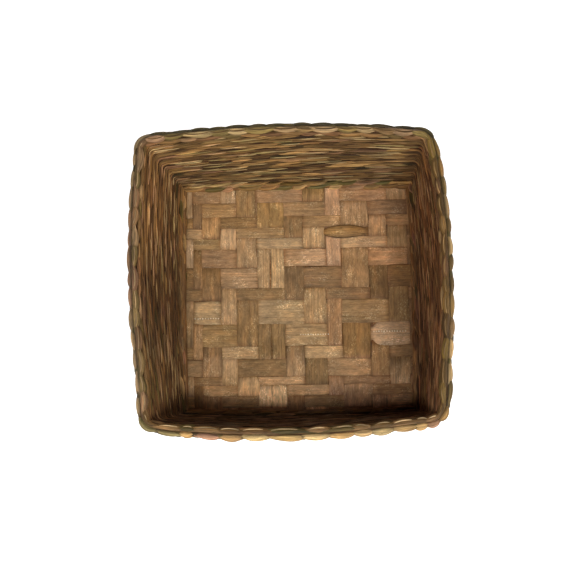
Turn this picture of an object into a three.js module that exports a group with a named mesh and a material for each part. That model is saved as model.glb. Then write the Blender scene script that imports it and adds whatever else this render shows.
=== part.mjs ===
// Straw storage basket: a square woven basket with low, slightly flared walls.
// Units are millimetres, +Z is up. X runs left to right, +Y is the far side.
//
// How it goes together:
//   floor  - strips crossing in a 2/2 twill, each one over two, then under two
//   stakes - most strips turn up at the edge of the floor and stand in the wall
//   wall   - a foot wale, then twined courses stacked up the stakes; every
//            course passes in front of and behind each stake
//   rim    - a hoop that holds the stake ends, with a row of border strokes on its
//            outside, one on its inside and a thick one over its top
import * as THREE from 'three';

// ---- driving dimensions ------------------------------------------------------
const STRIP_T = 1.0;            // thickness of a floor strip and of a stake
const CLEAR = 0.3;              // air between pieces that touch
const STRIP_GAP = 1.6;          // space between neighbouring strips, where they change level
const STAKE_W = 9.0;            // width of a stake in the wall
const BEND_W = 17.0;            // widest a strip is where it turns up

const FLOOR_TOP = 2 * STRIP_T + CLEAR;
const RIM_LEVEL = 110;          // height at which the rim is widest
const STAKE_TOP = 109.0;

const WALL_HALF = 3.1;          // half thickness of a course at its crown
const WALE_HALF = 3.7;          // half thickness of the foot wale at its crown
const SLOT_HALF = 1.3;          // half width of the space the stakes stand in
const CROWN = 0.8;              // how far a course bulges beyond its edges

const FOOT_H = 7.0;             // height of the foot wale
const COURSES = 15;
const COURSE_H = 5.9;
const HOOP_H = 6.4;
const HOOP_HALF = 3.3;
const ROW_OUT = 6.3;            // outer border row, measured out from the middle of the wall
const ROW_IN = 6.3;             // inner border row, measured in from the middle of the wall
const TOP_OUT = 5.4;            // top border row, out and in from the middle of the wall
const TOP_IN = 4.4;
const ROW_OUT_H = 6.6;
const ROW_IN_H = 6.6;
const TOP_H = 7.3;
const SCALLOP = 0.8;            // depth of the hollows between the border's strokes
const STROKES = 13;             // border strokes along one side

// Plan corners, far left first and then clockwise. The basket is handmade, so the
// four sides are not quite equal.
const FLOOR_CORNERS = [[-126.2, 125.2], [130.0, 119.0], [124.4, -126.6], [-119.3, -126.4]];
const RIM_CORNERS = [[-148.4, 144.5], [143.4, 136.6], [139.5, -138.8], [-134.7, -142.0]];
const FLOOR_BOW = [2.0, 2.4, 2.2, 2.0];     // outward bulge of each side at the floor
const RIM_BOW = [8.4, 10.2, 9.7, 8.7];      // and at the rim

// Strips as [name, twill number, first edge, last edge, turns up into the wall],
// the edges as thousandths of the floor's width or depth.
const COLUMNS = [
  ['c01', -5, 0, 33, false], ['c02', -4, 33, 73, true], ['c03', -3, 73, 158, true],
  ['c04', -2, 158, 227, true], ['c05', -1, 227, 319, true], ['c06', 0, 319, 377, true],
  ['c07', 0, 377, 440, true], ['c08', 1, 440, 521, true], ['c09', 2, 521, 621, true],
  ['c10', 3, 621, 687, true], ['c11', 4, 687, 807, true], ['c12', 5, 807, 887, true],
  ['c13', 6, 887, 973, true], ['c14', 7, 973, 1000, false],
];
const ROWS = [
  ['r01', -5, 0, 40, false], ['r02', -4, 40, 107, true], ['r03', -3, 107, 160, true],
  ['r04', -2, 160, 207, true], ['r05', -1, 207, 260, true], ['r06', 0, 260, 343, true],
  ['r07', 1, 343, 440, true], ['r08', 2, 440, 493, true], ['r09', 3, 493, 600, true],
  ['r10', 4, 600, 697, true], ['r11', 5, 697, 753, true], ['r12', 6, 753, 830, true],
  ['r13', 7, 830, 867, false], ['r14', 8, 867, 913, true], ['r15', 9, 913, 967, true],
  ['r16', 10, 967, 1000, false],
];

// ---- plan of the wall --------------------------------------------------------
const lerp = (a, b, t) => a + (b - a) * t;

// A quadrilateral with every side moved out by d.
function offsetQuad(q, d) {
  const lines = q.map((a, i) => {
    const b = q[(i + 1) % 4];
    const l = Math.hypot(b[0] - a[0], b[1] - a[1]);
    const t = [(b[0] - a[0]) / l, (b[1] - a[1]) / l];
    return { p: [a[0] - t[1] * d, a[1] + t[0] * d], t };
  });
  return q.map((_, i) => {
    const m = lines[(i + 3) % 4], n = lines[i];
    const det = m.t[0] * n.t[1] - m.t[1] * n.t[0];
    const k = ((n.p[0] - m.p[0]) * n.t[1] - (n.p[1] - m.p[1]) * n.t[0]) / det;
    return [m.p[0] + m.t[0] * k, m.p[1] + m.t[1] * k];
  });
}
const FOOT_QUAD = offsetQuad(FLOOR_CORNERS, WALL_HALF);
const TOP_QUAD = offsetQuad(RIM_CORNERS, -ROW_OUT);
const rise = (z) => (z - FLOOR_TOP) / (RIM_LEVEL - FLOOR_TOP);

// Where the straight run of a side starts, as a fraction of the side.
const knee = (z) => lerp(0.034, 0.066, rise(z));
const knots = (z) => [knee(z), 0.17, 0.34, 0.5, 0.66, 0.83, 1 - knee(z)];

function side(i, z) {
  const t = rise(z);
  const a = [0, 1].map((k) => lerp(FOOT_QUAD[i][k], TOP_QUAD[i][k], t));
  const j = (i + 1) % 4;
  const b = [0, 1].map((k) => lerp(FOOT_QUAD[j][k], TOP_QUAD[j][k], t));
  const l = Math.hypot(b[0] - a[0], b[1] - a[1]);
  const dir = [(b[0] - a[0]) / l, (b[1] - a[1]) / l];
  return { a, b, l, dir, nrm: [-dir[1], dir[0]], bow: lerp(FLOOR_BOW[i], RIM_BOW[i], t) };
}
// Outward bulge at fraction s, straight between the knots.
function bulge(sd, s, z) {
  const ks = knots(z);
  const f = (x) => sd.bow * (1 - (2 * x - 1) ** 2);
  let n = 0;
  while (n < ks.length - 2 && s > ks[n + 1]) n += 1;
  return lerp(f(ks[n]), f(ks[n + 1]), (s - ks[n]) / (ks[n + 1] - ks[n]));
}
// The point at fraction s of side i at height z, d out from the middle of the wall.
function wallPoint(i, s, z, d) {
  const sd = side(i, z);
  const o = bulge(sd, s, z) + d;
  return [lerp(sd.a[0], sd.b[0], s) + sd.nrm[0] * o, lerp(sd.a[1], sd.b[1], s) + sd.nrm[1] * o];
}
// The whole closed outline at height z. bump(i, s) adds to d along the sides.
function outline(z, d, fractions, bump) {
  const pts = [];
  const ks = fractions || knots(z);
  for (let i = 0; i < 4; i += 1) {
    for (const s of ks) pts.push(wallPoint(i, s, z, d + (bump ? bump(i, s) : 0)));
    // round corner: a quadratic curve between the last and first straight runs
    const j = (i + 1) % 4;
    const k0 = 1 - knee(z), k1 = knee(z);
    const p0 = wallPoint(i, k0, z, d), q0 = wallPoint(i, 0.83, z, d);
    const p2 = wallPoint(j, k1, z, d), q2 = wallPoint(j, 0.17, z, d);
    const t0 = [p0[0] - q0[0], p0[1] - q0[1]], t2 = [p2[0] - q2[0], p2[1] - q2[1]];
    const det = t0[0] * t2[1] - t0[1] * t2[0];
    const k = ((p2[0] - p0[0]) * t2[1] - (p2[1] - p0[1]) * t2[0]) / det;
    const x = [p0[0] + t0[0] * k, p0[1] + t0[1] * k];
    for (const u of [0.25, 0.5, 0.75]) {
      pts.push([0, 1].map((m) => (1 - u) ** 2 * p0[m] + 2 * u * (1 - u) * x[m] + u * u * p2[m]));
    }
  }
  return pts;
}
const vec = (pts) => pts.map((p) => new THREE.Vector2(p[0], p[1])).reverse();

// ---- materials -----------------------------------------------------------------
const straw = (color, roughness) => new THREE.MeshStandardMaterial({ color, roughness, metalness: 0 });
const STRIP_TONES = [0xa98659, 0xb3905f, 0x9a764c, 0xbd9c6d, 0xa27c50, 0x8f6b43];
const COURSE_TONES = [0x93714a, 0x8a6a48, 0x9c7a50, 0x7d6444, 0x97745a];

const group = new THREE.Group();
group.name = 'straw_storage_basket';
function add(parent, name, geometry, material) {
  const mesh = new THREE.Mesh(geometry, material);
  mesh.name = name;
  parent.add(mesh);
}

// ---- rings: foot wale, courses, hoop, border rows ----------------------------------
// Extrudes a closed outline with openings to height h. Halfway up, its outer outline and
// its first opening stand out by the two crowns, so those faces of the ring are crowned.
function crowned(z0, h, z, dIn, dOut, crowns, fr, bumps, slots) {
  const outerAt = (d) => outline(z, dOut + d, fr.outer, bumps.outer);
  const innerAt = (d) => outline(z, -dIn - d, fr.inner, bumps.inner);
  const outer = outerAt(-crowns.outer), inner = innerAt(-crowns.inner);
  const shape = new THREE.Shape(vec(outer));
  shape.holes.push(new THREE.Path(vec(inner)), ...slots.map((pts) => new THREE.Path(vec(pts))));
  const g = new THREE.ExtrudeGeometry(shape, { depth: h, bevelEnabled: false, steps: 2 });
  const key = (x, y) => `${Math.round(x * 200)},${Math.round(y * 200)}`;
  const crown = new Map();
  const pair = (from, to) => from.forEach((q, n) => {
    for (const dx of [-1, 0, 1]) for (const dy of [-1, 0, 1]) {
      crown.set(`${Math.round(q[0] * 200) + dx},${Math.round(q[1] * 200) + dy}`, to[n]);
    }
  });
  pair(outer, outerAt(0));
  pair(inner, innerAt(0));
  const p = g.attributes.position;
  for (let n = 0; n < p.count; n += 1) {
    const q = crown.get(key(p.getX(n), p.getY(n)));
    if (q && Math.abs(p.getZ(n) - h / 2) < 0.01) p.setXY(n, q[0], q[1]);
  }
  g.computeVertexNormals();
  g.translate(0, 0, z0);
  return g;
}
const PLAIN = { outer: null, inner: null };

// A course: one long space along each side for the stakes, joined up at the four corners.
function ring(z0, h, half) {
  const z = z0 + h / 2;
  const end = lerp(0.026, 0.072, rise(z));
  const ks = [end, ...knots(z).slice(1, -1), 1 - end];
  const slots = [0, 1, 2, 3].map((i) => [
    ...ks.map((s) => wallPoint(i, s, z, SLOT_HALF)),
    ...ks.map((s) => wallPoint(i, s, z, -SLOT_HALF)).reverse(),
  ]);
  return crowned(z0, h, z, half, half, { outer: CROWN, inner: CROWN }, PLAIN, PLAIN, slots);
}

// A border row: a closed ring whose visible edges swell at every stroke.
// dOut and -dIn are its faces, out from the middle of the wall.
function borderRow(z0, h, dIn, dOut, scallopIn, scallopOut, phase) {
  const z = z0 + h / 2;
  const k = knee(z);
  const fr = [k];
  for (let n = 0; n < STROKES; n += 1) {
    for (const u of [0, 0.3, 0.7]) {
      const f = (n + u + phase) / STROKES;
      if (f > 0.01 && f < 0.99) fr.push(lerp(k, 1 - k, f));
    }
  }
  fr.push(1 - k);
  const hollow = (s) => {
    const u = ((((s - k) / (1 - 2 * k)) * STROKES - phase) % 1 + 1) % 1;
    return u < 0.02 || u > 0.98 ? SCALLOP : 0;
  };
  return crowned(z0, h, z, dIn, dOut, { outer: scallopOut ? CROWN : 0, inner: scallopIn ? CROWN : 0 },
    { outer: scallopOut ? fr : null, inner: scallopIn ? fr : null },
    { outer: scallopOut ? (i, s) => -hollow(s) : null, inner: scallopIn ? (i, s) => hollow(s) : null }, []);
}

const wall = new THREE.Group();
wall.name = 'wall';
let z = FLOOR_TOP + CLEAR;
add(wall, 'foot_wale', ring(z, FOOT_H, WALE_HALF), straw(0x7f6a45, 0.82));
z += FOOT_H + CLEAR;
for (let n = 0; n < COURSES; n += 1) {
  const name = `wall_course_${String(n + 1).padStart(2, '0')}`;
  add(wall, name, ring(z, COURSE_H, WALL_HALF), straw(COURSE_TONES[n % COURSE_TONES.length], 0.85));
  z += COURSE_H + CLEAR;
}
const rim = new THREE.Group();
rim.name = 'rim';
add(rim, 'rim_hoop', ring(z, HOOP_H, HOOP_HALF), straw(0x8d7148, 0.8));
z += HOOP_H + CLEAR;
add(rim, 'rim_row_outer',
  borderRow(z - CLEAR - ROW_OUT_H, ROW_OUT_H, -HOOP_HALF - CLEAR, ROW_OUT, false, true, 0.5), straw(0x6f6a3c, 0.8));
add(rim, 'rim_row_inner',
  borderRow(z - CLEAR - ROW_IN_H, ROW_IN_H, ROW_IN, -HOOP_HALF - CLEAR, true, false, 0.5), straw(0x94764a, 0.8));
add(rim, 'rim_row_top', borderRow(z, TOP_H, TOP_IN, TOP_OUT, true, true, 0), straw(0xb4924f, 0.76));

// ---- floor strips with their stakes ----------------------------------------------
const V = (x, y, zz) => new THREE.Vector3(x, y, zz);
const Q = FLOOR_CORNERS;
// A point of the floor: u runs left to right, v from the far side to the near side.
function floorPoint(u, v) {
  return [0, 1].map((k) => lerp(lerp(Q[0][k], Q[1][k], u), lerp(Q[3][k], Q[2][k], u), v));
}
const MID = FLOOR_TOP / 2;
const LEVEL = (STRIP_T + CLEAR) / 2;
const columnOnTop = (k, r) => ((((r - k) % 4) + 4) % 4) < 2;

// A ribbon through stations { c: middle, w: half width vector, t: half thickness vector }.
function ribbon(stations) {
  const n = stations.length - 1;
  const g = new THREE.BoxGeometry(2, 2, 2, 1, n, 1);
  const p = g.attributes.position;
  for (let i = 0; i < p.count; i += 1) {
    const st = stations[Math.round(((p.getY(i) + 1) / 2) * n)];
    const q = st.c.clone().addScaledVector(st.w, p.getX(i)).addScaledVector(st.t, p.getZ(i));
    p.setXYZ(i, q.x, q.y, q.z);
  }
  g.computeVertexNormals();
  return g;
}

// The stake's stations from its top down to the floor (or the other way round).
// i: wall side, s0/s1: its place along the side at the floor and at the rim.
function stake(i, s0, s1, bendWidth, flip) {
  const out = [];
  const place = (zz, width) => {
    const s = lerp(s0, s1, Math.max(0, rise(zz)));
    const sd = side(i, zz);
    const e = 0.01;
    const a = wallPoint(i, s - e, zz, 0), b = wallPoint(i, s + e, zz, 0);
    const l = Math.hypot(b[0] - a[0], b[1] - a[1]);
    const dir = V((b[0] - a[0]) / l, (b[1] - a[1]) / l, 0);
    const c = wallPoint(i, s, zz, 0);
    return { c: V(c[0], c[1], zz), dir, nrm: V(sd.nrm[0], sd.nrm[1], 0), width };
  };
  const sign = flip ? -1 : 1;
  const h = STRIP_T / 2;
  const w = (q) => q.dir.clone().multiplyScalar((sign * q.width) / 2);
  for (const [zz, width] of [[STAKE_TOP, STAKE_W], [11, STAKE_W + 1], [4.2, bendWidth]]) {
    const q = place(zz, width);
    out.push({ c: q.c, w: w(q), t: q.nrm.clone().multiplyScalar(-h) });
  }
  // the fold, chamfered: leaves the wall's plane at 1.6 above the floor's middle
  const q = place(FLOOR_TOP, bendWidth);
  const k = Math.tan(Math.PI / 8) * h;
  for (const [inward, zz, tn, tz] of [[0, MID + 1.5, -h, k], [1.5, MID, -k, h]]) {
    out.push({
      c: V(q.c.x - q.nrm.x * inward, q.c.y - q.nrm.y * inward, zz),
      w: w(q),
      t: V(q.nrm.x * tn, q.nrm.y * tn, tz),
    });
  }
  return out;
}

// Stations along one strip. across: [near edge, far edge] of the strip; others: what it crosses.
function stripStations(spec, others, isColumn, startStake, endStake) {
  const [, num, e0, e1] = spec;
  const centre = (e0 + e1) / 2000;
  const at = (x) => (isColumn ? floorPoint(centre, x) : floorPoint(x, centre));
  const edgeA = (x) => (isColumn ? floorPoint(e0 / 1000, x) : floorPoint(x, e0 / 1000));
  const edgeB = (x) => (isColumn ? floorPoint(e1 / 1000, x) : floorPoint(x, e1 / 1000));
  const station = (x, level) => {
    const c = at(x), a = edgeA(x), b = edgeB(x);
    const w = V((b[0] - a[0]) / 2, (b[1] - a[1]) / 2, 0);
    w.setLength(w.length() - STRIP_GAP / 2);
    return { c: V(c[0], c[1], MID + level), w, t: V(0, 0, STRIP_T / 2) };
  };
  const list = isColumn ? [...others].reverse() : others;
  const out = [...startStake];
  const span = 250;
  const g = STRIP_GAP / 2 / span;
  let prev = null;
  list.forEach((o, n) => {
    const top = isColumn ? columnOnTop(num, o[1]) : !columnOnTop(o[1], num);
    const level = top ? LEVEL : -LEVEL;
    const [x0, x1] = isColumn ? [o[3] / 1000 - g, o[2] / 1000 + g] : [o[2] / 1000 + g, o[3] / 1000 - g];
    const last = n === list.length - 1;
    if (prev === null) out.push(station(x0, level));
    else if (prev.level !== level) { out.push(station(prev.x1, prev.level)); out.push(station(x0, level)); }
    if (last) out.push(station(x1, level));
    prev = { x1, level };
  });
  out.push(...endStake);
  return out;
}

// Places of the stakes at the rim: evenly spread along the side.
const spread = (j, n) => lerp(0.105, 0.895, j / (n - 1));
const floor = new THREE.Group();
floor.name = 'floor';
const upC = COLUMNS.filter((c) => c[4]), upR = ROWS.filter((r) => r[4]);

COLUMNS.forEach((c, n) => {
  let start = [], end = [];
  if (c[4]) {
    const s = (c[2] + c[3]) / 2000;
    const s1 = spread(upC.indexOf(c), upC.length);
    const w = Math.min(BEND_W, ((c[3] - c[2]) / 1000) * 250 - STRIP_GAP);
    start = stake(2, 1 - s, 1 - s1, w, true);        // near wall
    end = stake(0, s, s1, w, false).reverse();       // far wall
  }
  add(floor, `strip_${c[0]}`, ribbon(stripStations(c, ROWS, true, start, end)),
    straw(STRIP_TONES[(n * 5) % STRIP_TONES.length], 0.62));
});
ROWS.forEach((r, n) => {
  let start = [], end = [];
  if (r[4]) {
    const s = (r[2] + r[3]) / 2000;
    const s1 = spread(upR.indexOf(r), upR.length);
    const w = Math.min(BEND_W, ((r[3] - r[2]) / 1000) * 245 - STRIP_GAP);
    start = stake(3, 1 - s, 1 - s1, w, true);        // left wall
    end = stake(1, s, s1, w, false).reverse();       // right wall
  }
  add(floor, `strip_${r[0]}`, ribbon(stripStations(r, COLUMNS, false, start, end)),
    straw(STRIP_TONES[(n * 7 + 2) % STRIP_TONES.length], 0.62));
});

group.add(floor, wall, rim);

// The origin is the middle of the footprint of the whole basket, on the surface it stands on.
const box = new THREE.Box3().setFromObject(group);
const shift = [-(box.min.x + box.max.x) / 2, -(box.min.y + box.max.y) / 2, -box.min.z];
group.traverse((m) => { if (m.isMesh) m.geometry.translate(...shift); });

export default group;
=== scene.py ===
import math

import bpy
import numpy as np
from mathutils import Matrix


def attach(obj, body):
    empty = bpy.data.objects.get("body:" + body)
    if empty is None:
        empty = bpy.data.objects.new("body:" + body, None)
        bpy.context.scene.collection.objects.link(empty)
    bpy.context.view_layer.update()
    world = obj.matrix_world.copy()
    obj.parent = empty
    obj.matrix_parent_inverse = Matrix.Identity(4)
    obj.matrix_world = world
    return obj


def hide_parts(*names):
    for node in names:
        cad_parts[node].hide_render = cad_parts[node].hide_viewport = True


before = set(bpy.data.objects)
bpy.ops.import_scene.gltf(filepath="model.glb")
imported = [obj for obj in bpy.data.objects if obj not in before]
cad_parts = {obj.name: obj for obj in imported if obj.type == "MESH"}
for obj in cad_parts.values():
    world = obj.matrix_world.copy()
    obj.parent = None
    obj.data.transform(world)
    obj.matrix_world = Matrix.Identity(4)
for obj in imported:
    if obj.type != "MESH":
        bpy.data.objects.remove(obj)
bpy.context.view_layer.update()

# Straw storage basket: the visible strands, strips and border, and the studio around them.
# All lengths below are millimetres in the part's plan, and become metres when a mesh is made.
MM = 0.001
SHIFT = np.array([-0.1041, 0.3904])     # from the plan's origin to the middle of the footprint

# ---- plan of the wall ----------------------------------------------------------------
FLOOR_TOP, RIM_LEVEL = 2.3, 110.0
WALL_HALF, ROW_OUT = 3.1, 6.3
FLOOR_CORNERS = np.array([[-126.2, 125.2], [130.0, 119.0], [124.4, -126.6], [-119.3, -126.4]])
RIM_CORNERS = np.array([[-148.4, 144.5], [143.4, 136.6], [139.5, -138.8], [-134.7, -142.0]])
FLOOR_BOW = np.array([2.0, 2.4, 2.2, 2.0])
RIM_BOW = np.array([8.4, 10.2, 9.7, 8.7])
FAR, RIGHT, NEAR, LEFT = 0, 1, 2, 3


def offset_quad(q, d):
    lines = []
    for i in range(4):
        a, b = q[i], q[(i + 1) % 4]
        t = (b - a) / np.hypot(*(b - a))
        lines.append((a + np.array([-t[1], t[0]]) * d, t))
    out = []
    for i in range(4):
        (mp, mt), (np_, nt) = lines[(i + 3) % 4], lines[i]
        det = mt[0] * nt[1] - mt[1] * nt[0]
        k = ((np_[0] - mp[0]) * nt[1] - (np_[1] - mp[1]) * nt[0]) / det
        out.append(mp + mt * k)
    return np.array(out)


FOOT_QUAD = offset_quad(FLOOR_CORNERS, WALL_HALF)
TOP_QUAD = offset_quad(RIM_CORNERS, -ROW_OUT)


def rise(z):
    return (z - FLOOR_TOP) / (RIM_LEVEL - FLOOR_TOP)


def knee(z):
    return 0.034 + (0.046 - 0.034) * rise(z)


def run_point(i, s, z, d):
    """A point on the straight run of side i and the direction of the run there."""
    t = rise(z)[..., None]
    j = (i + 1) % 4
    a = FOOT_QUAD[i] * (1 - t) + TOP_QUAD[i] * t
    b = FOOT_QUAD[j] * (1 - t) + TOP_QUAD[j] * t
    ab = b - a
    unit_ = ab / np.linalg.norm(ab, axis=-1, keepdims=True)
    nrm = np.stack([-unit_[..., 1], unit_[..., 0]], -1)
    bow = FLOOR_BOW[i] * (1 - t[..., 0]) + RIM_BOW[i] * t[..., 0]
    o = bow * (1 - (2 * s - 1) ** 2) + d
    slope = -4 * bow * (2 * s - 1)
    return a + ab * s[..., None] + nrm * o[..., None], ab + nrm * slope[..., None]


SWELL_Q = [0.08, 0.15, 0.85, 0.93, 1.08, 1.15, 1.45, 1.55, 1.75, 1.82, 1.93, 2.1, 2.9, 3.08, 3.12, 3.27, 3.34, 3.46, 3.55, 3.92]
SWELL_MM = [-0.4, -1.0, -1.0, -1.0, 1.5, 1.2, 1.1, 0.5, 0.5, 0.1, 1.3, 1.4, 2.0, -1.2, -2.0, -2.1, -0.9, -0.7, -0.3, -0.3]
CORNER_MM = (0.0, -0.6, 0.4, 0.4)


def swell(q, z):
    """How far the upper wall and the border stand out from the plan: a hand-made rim isn't quite regular."""
    out = np.interp(q, SWELL_Q, SWELL_MM, period=4)
    for c, h in enumerate(CORNER_MM):
        away = (q - c + 2) % 4 - 2
        out = out + h * np.exp(-0.5 * (away / 0.07) ** 2)
    t = np.clip((z - 80.0) / 30.0, 0, 1)
    return out * t * t * (3 - 2 * t)


def wall(q, z, d):
    """Plan point at q along the wall (0 to 4, clockwise from the far left corner), height z, d out from its middle."""
    q, z, d = (np.array(x, float) for x in np.broadcast_arrays(q, z, d))
    q = q % 4
    k = np.maximum(0.013, knee(z) + 0.006 * np.minimum(d, 0))
    d = d + swell(q, z)
    i = np.minimum(np.floor(q).astype(int), 3)
    s = q - i
    p = run_point(i, s, z, d)[0]
    hi, lo = s > 1 - k, s < k
    c = hi | lo
    if c.any():
        ci = np.where(hi, i, (i + 3) % 4)[c]
        u = np.where(hi, (s - (1 - k)) / (2 * k), (s + k) / (2 * k))[c][:, None]
        zz, dd, kk = z[c], d[c], k[c]
        p0, t0 = run_point(ci, 1 - kk, zz, dd)
        p2, t2 = run_point((ci + 1) % 4, kk, zz, dd)
        det = t0[:, 0] * t2[:, 1] - t0[:, 1] * t2[:, 0]
        m = ((p2[:, 0] - p0[:, 0]) * t2[:, 1] - (p2[:, 1] - p0[:, 1]) * t2[:, 0]) / det
        x = p0 + t0 * m[:, None]
        p[c] = (1 - u) ** 2 * p0 + 2 * u * (1 - u) * x + u * u * p2
    return p


# ---- colour and mesh helpers -----------------------------------------------------------
def lin(rgb):
    c = np.asarray(rgb, float) / 255.0
    return np.where(c <= 0.04045, c / 12.92, ((c + 0.055) / 1.055) ** 2.4)


def unit(v):
    return v / np.maximum(np.linalg.norm(v, axis=-1, keepdims=True), 1e-12)


def smooth_noise(rng, x, step):
    """Smooth random curve of about -1 to 1 over the positions x, one bump every step."""
    x = np.asarray(x, float)
    lo, hi = x.min(), x.max()
    n = max(4, int((hi - lo) / step) + 4)
    knots = rng.uniform(-1, 1, n)
    f = (x - lo) / step + 1
    i = np.clip(np.floor(f).astype(int), 1, n - 2)
    t = f - i
    t = t * t * (3 - 2 * t)
    return knots[i] * (1 - t) + knots[np.minimum(i + 1, n - 1)] * t


class Soup:
    """Collects closed strands that become one mesh."""

    def __init__(self):
        self.v, self.quads, self.tris, self.fib, self.tint, self.n = [], [], [], [], [], 0

    def grid(self, ring, first, last, fib, fib0, fib1, tint):
        """ring: (K, M, A, 3) points of K closed tubes; first and last: (K, 3) end points."""
        k, m, a, _ = ring.shape
        per = m * a + 2
        v = np.concatenate([ring.reshape(k, m * a, 3), first[:, None], last[:, None]], 1)
        f = np.concatenate([fib.reshape(k, m * a, 3), fib0[:, None], fib1[:, None]], 1)
        c = np.concatenate([tint.reshape(k, m * a, 3), tint[:, 0, :1], tint[:, -1, :1]], 1)
        base = self.n + np.arange(k)[:, None, None] * per
        i = np.arange(m - 1)[:, None] * a
        j = np.arange(a)[None]
        jn = (j + 1) % a
        q = np.stack([i + j, i + jn, i + a + jn, i + a + j], -1).reshape(1, -1, 4)
        self.quads.append((q + base).reshape(-1, 4))
        j = np.arange(a)
        jn = (j + 1) % a
        cap0 = np.stack([np.full(a, m * a), jn, j], -1)
        e = (m - 1) * a
        cap1 = np.stack([np.full(a, m * a + 1), e + j, e + jn], -1)
        t = np.concatenate([cap0, cap1])[None]
        self.tris.append((t + base).reshape(-1, 3))
        self.v.append(v.reshape(-1, 3))
        self.fib.append(f.reshape(-1, 3))
        self.tint.append(c.reshape(-1, 3))
        self.n += k * per

    def object(self, name, material):
        v = np.concatenate(self.v)
        quads, tris = np.concatenate(self.quads), np.concatenate(self.tris)
        me = bpy.data.meshes.new(name)
        me.vertices.add(len(v))
        me.vertices.foreach_set("co", (v * MM).astype(np.float32).ravel())
        loops = np.concatenate([quads.ravel(), tris.ravel()]).astype(np.int32)
        me.loops.add(len(loops))
        me.loops.foreach_set("vertex_index", loops)
        me.polygons.add(len(quads) + len(tris))
        start = np.concatenate([np.arange(len(quads)) * 4, 4 * len(quads) + np.arange(len(tris)) * 3])
        me.polygons.foreach_set("loop_start", start.astype(np.int32))
        me.polygons.foreach_set("use_smooth", np.ones(len(start), bool))
        me.update(calc_edges=True)
        fib = me.attributes.new("fib", "FLOAT_VECTOR", "POINT")
        fib.data.foreach_set("vector", np.concatenate(self.fib).astype(np.float32).ravel())
        tint = me.attributes.new("tint", "FLOAT_COLOR", "POINT")
        rgba = np.ones((len(v), 4), np.float32)
        rgba[:, :3] = np.clip(np.concatenate(self.tint), 0, 1)
        tint.data.foreach_set("color", rgba.ravel())
        me.materials.append(material)
        o = bpy.data.objects.new(name, me)
        bpy.context.scene.collection.objects.link(o)
        return o


def strands(soup, rng, q, z, d, hu, hn, tint, roll=0.0, around=8, lobe=0.07, twist=1.2, groove_shade=0.0):
    """Adds K strands along wall paths q, z, d of shape (K, M).
    hu and hn: half size up the wall and out from it; tint: (K, M, 3) or (K, 1, 3); groove: how dark the long edges are,
    painted shade where neighbouring strands meet."""
    k, m = q.shape
    p = np.concatenate([wall(q, z, d) + SHIFT, z[..., None]], -1)
    t = unit(np.gradient(p, axis=1))
    e = 2e-3
    w = unit(wall(q + e, z, d) - wall(q - e, z, d))
    n = np.stack([-w[..., 1], w[..., 0], np.zeros_like(z)], -1)
    u = unit(np.cross(t, n))
    n = unit(np.cross(u, t))
    roll = np.broadcast_to(np.asarray(roll, float), q.shape)[..., None]
    u, n = u * np.cos(roll) + n * np.sin(roll), n * np.cos(roll) - u * np.sin(roll)
    th = 2 * np.pi * np.arange(around) / around
    tt = np.linspace(-1, 1, m)[None, :, None]
    ph = rng.uniform(0, 2 * np.pi, (3, k, 1, 1))
    bump = 1 + lobe * np.cos(3 * th + twist * tt + ph[0]) + 0.6 * lobe * np.cos(5 * th - 1.6 * twist * tt + ph[1])
    if around > 18:
        bump = bump + 0.5 * lobe * np.cos(9 * th + 2.2 * twist * tt + ph[2])
    y = hu[..., None] * np.cos(th) * bump
    x = hn[..., None] * np.sin(th) * bump
    ring = p[:, :, None] + u[:, :, None] * y[..., None] + n[:, :, None] * x[..., None]
    ring[..., 2] = np.maximum(ring[..., 2], 0.05)
    along = np.concatenate([np.zeros((k, 1)), np.cumsum(np.linalg.norm(np.diff(p, axis=1), axis=-1), 1)], 1)
    along = along + rng.uniform(0, 2000, (k, 1))
    fib = np.stack([np.broadcast_to(along[..., None], y.shape), y, x], -1)
    tip = 0.5 * (hu + hn)
    first, last = p[:, 0] - t[:, 0] * tip[:, :1], p[:, -1] + t[:, -1] * tip[:, -1:]
    zero = np.zeros(k)
    colour = np.broadcast_to(tint[:, :, None], (k, tint.shape[1], around, 3))
    if tint.shape[1] != m:
        colour = colour.repeat(m, 1)
    # painted shade: each strand darker along its upper and lower sides, where it meets its neighbours
    colour = colour * (1 - groove_shade * np.abs(np.cos(th)) ** 2.5)[None, None, :, None]
    soup.grid(ring, first, last, fib, np.stack([along[:, 0] - tip[:, 0], zero, zero], -1),
              np.stack([along[:, -1] + tip[:, -1], zero, zero], -1), colour)


def fibres(soup, rng, q, z, d, hu, hn, tint, count, spin, around=8, vary=0.10, groove_shade=0.0, slim=1.0):
    """A strand made of count thinner fibres that wind a little round one another."""
    k, m = q.shape
    t = np.linspace(-1, 1, m)[None]
    start = rng.uniform(0, 2 * np.pi, (k, 1))
    for j in range(count):
        turn = start + 2 * np.pi * j / count + spin * t
        tone = np.exp(rng.normal(0, vary, (k, 1, 1)))
        strands(soup, rng, q + rng.normal(0, 0.004, (k, 1)), z + 0.50 * hu * np.cos(turn), d + 0.34 * hn * np.sin(turn),
                0.54 * slim * hu, 0.66 * slim * hn, tint * tone, around=around, lobe=0.10, groove_shade=groove_shade)


def core(soup, rng, z, d, hu, hn, colour):
    """A plain ring inside a course, so that the grooves between strands stay closed; a dark colour given to it is
    painted shade in the grooves.
    """
    q = np.linspace(0, 4.01, 321)[None]
    one = np.ones_like(q)
    strands(soup, rng, q, z * one, d * one, hu * one, hn * one, lin(colour)[None, None], lobe=0.0)


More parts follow.
